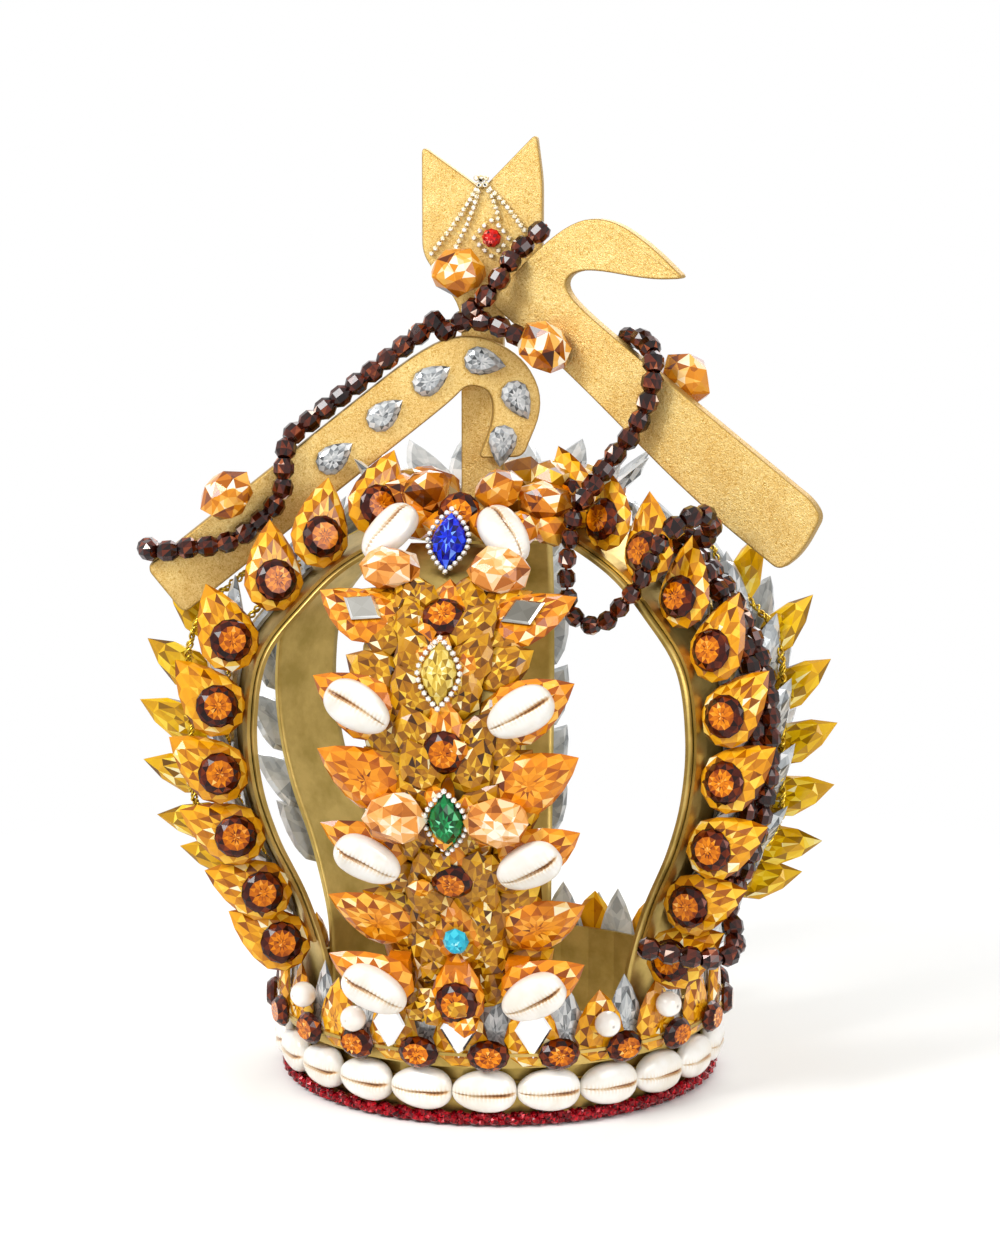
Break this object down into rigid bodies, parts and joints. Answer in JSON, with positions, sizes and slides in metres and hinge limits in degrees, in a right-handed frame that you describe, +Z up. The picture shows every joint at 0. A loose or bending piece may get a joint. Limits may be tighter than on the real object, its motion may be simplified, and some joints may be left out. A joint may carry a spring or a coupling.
{
  "type": "orisha crown",
  "caption": "Open gold altar crown: bent strips rise from a band ring and meet at the top, set with acrylic stones and cowries, with flat gold tools and bead strands above.",
  "frame": {"origin": "middle of the part's box, on the plane that the band stands on", "axes": "+Z up, the wide front strip faces -Y, +X to the viewer's right"},
  "size_m": [0.2246, 0.2016, 0.3128],
  "materials": {
    "gold_band": "satin",
    "gold_sheet": "satin",
    "gold_wire": "bright",
    "gold_leaf": "gold leaf over wood, mottled",
    "red_trim": "metallic red beads",
    "cowrie_shell": "glossy shell",
    "clear_acrylic": "faceted, foil backed",
    "amber_acrylic": "faceted, foil backed",
    "topaz_glass": "faceted",
    "yellow_acrylic": "faceted, foil backed",
    "amber_nugget": "tumbled and faceted",
    "blue_glass": "faceted",
    "citrine_glass": "faceted",
    "green_glass": "faceted",
    "red_glass": "faceted",
    "turquoise": "polished",
    "mirror_glass": "mirror",
    "rhinestone_chain": "small set stones"
  },
  "bodies": {
    "crown": {"base_ring": "gold_band", "red_bead_trim": "red_trim", "base_cowries": "cowrie_shell", "base_clear_petals": "clear_acrylic", "base_amber_petals": "amber_acrylic", "base_oval_gems": "topaz_glass", "top_plate": "gold_sheet", "front_strip": "gold_sheet", "front_right_strip": "gold_sheet", "back_right_strip": "gold_sheet", "back_strip": "gold_sheet", "back_left_strip": "gold_sheet", "front_left_strip": "gold_sheet", "amber_drops_right": "amber_acrylic", "amber_drops_left": "amber_acrylic", "clear_leaves_right": "clear_acrylic", "clear_leaves_left": "clear_acrylic", "clear_leaves_back_right": "clear_acrylic", "clear_leaves_back": "clear_acrylic", "clear_leaves_back_left": "clear_acrylic", "yellow_spikes_right": "yellow_acrylic", "yellow_spikes_left": "yellow_acrylic", "gold_chain_right": "gold_wire", "gold_chain_left": "gold_wire", "front_leaf_gems_right": "amber_acrylic", "front_leaf_gems_left": "amber_acrylic", "front_round_stones": "topaz_glass", "blue_marquise": "blue_glass", "citrine_marquise": "citrine_glass", "green_marquise": "green_glass", "turquoise_stone": "turquoise", "front_cowrie_1": "cowrie_shell", "front_cowrie_2": "cowrie_shell", "front_cowrie_3": "cowrie_shell", "front_cowrie_4": "cowrie_shell", "front_cowrie_5": "cowrie_shell", "front_cowrie_6": "cowrie_shell", "front_cowrie_7": "cowrie_shell", "front_cowrie_8": "cowrie_shell", "front_mirror_right": "mirror_glass", "front_mirror_left": "mirror_glass", "front_nugget_1": "amber_nugget", "front_nugget_2": "amber_nugget", "front_nugget_3": "amber_nugget", "front_nugget_4": "amber_nugget", "forked_upright_tool": "gold_leaf", "crook_tool": "gold_leaf", "crook_stones": "clear_acrylic", "hooked_blade_tool": "gold_leaf", "rhinestone_chains": "rhinestone_chain", "red_flower_stone": "red_glass", "big_nugget_top": "amber_nugget", "big_nugget_middle": "amber_nugget", "big_nugget_right": "amber_nugget", "big_nugget_left": "amber_nugget", "bead_strand_top": "topaz_glass", "bead_strand_crook": "topaz_glass", "bead_strand_blade": "topaz_glass", "bead_strand_right": "topaz_glass"},
    "bead_loop": {"hanging_bead_loop": "topaz_glass"}
  },
  "joints": [
    {"name": "bead_loop_swing", "type": "hinge", "parent": "crown", "child": "bead_loop", "pos_m": [0.03369, -0.04296, 0.1955], "axis": [-0.9136, 0.3648, 0.1796], "range_deg": [-5, 15]}
  ]
}
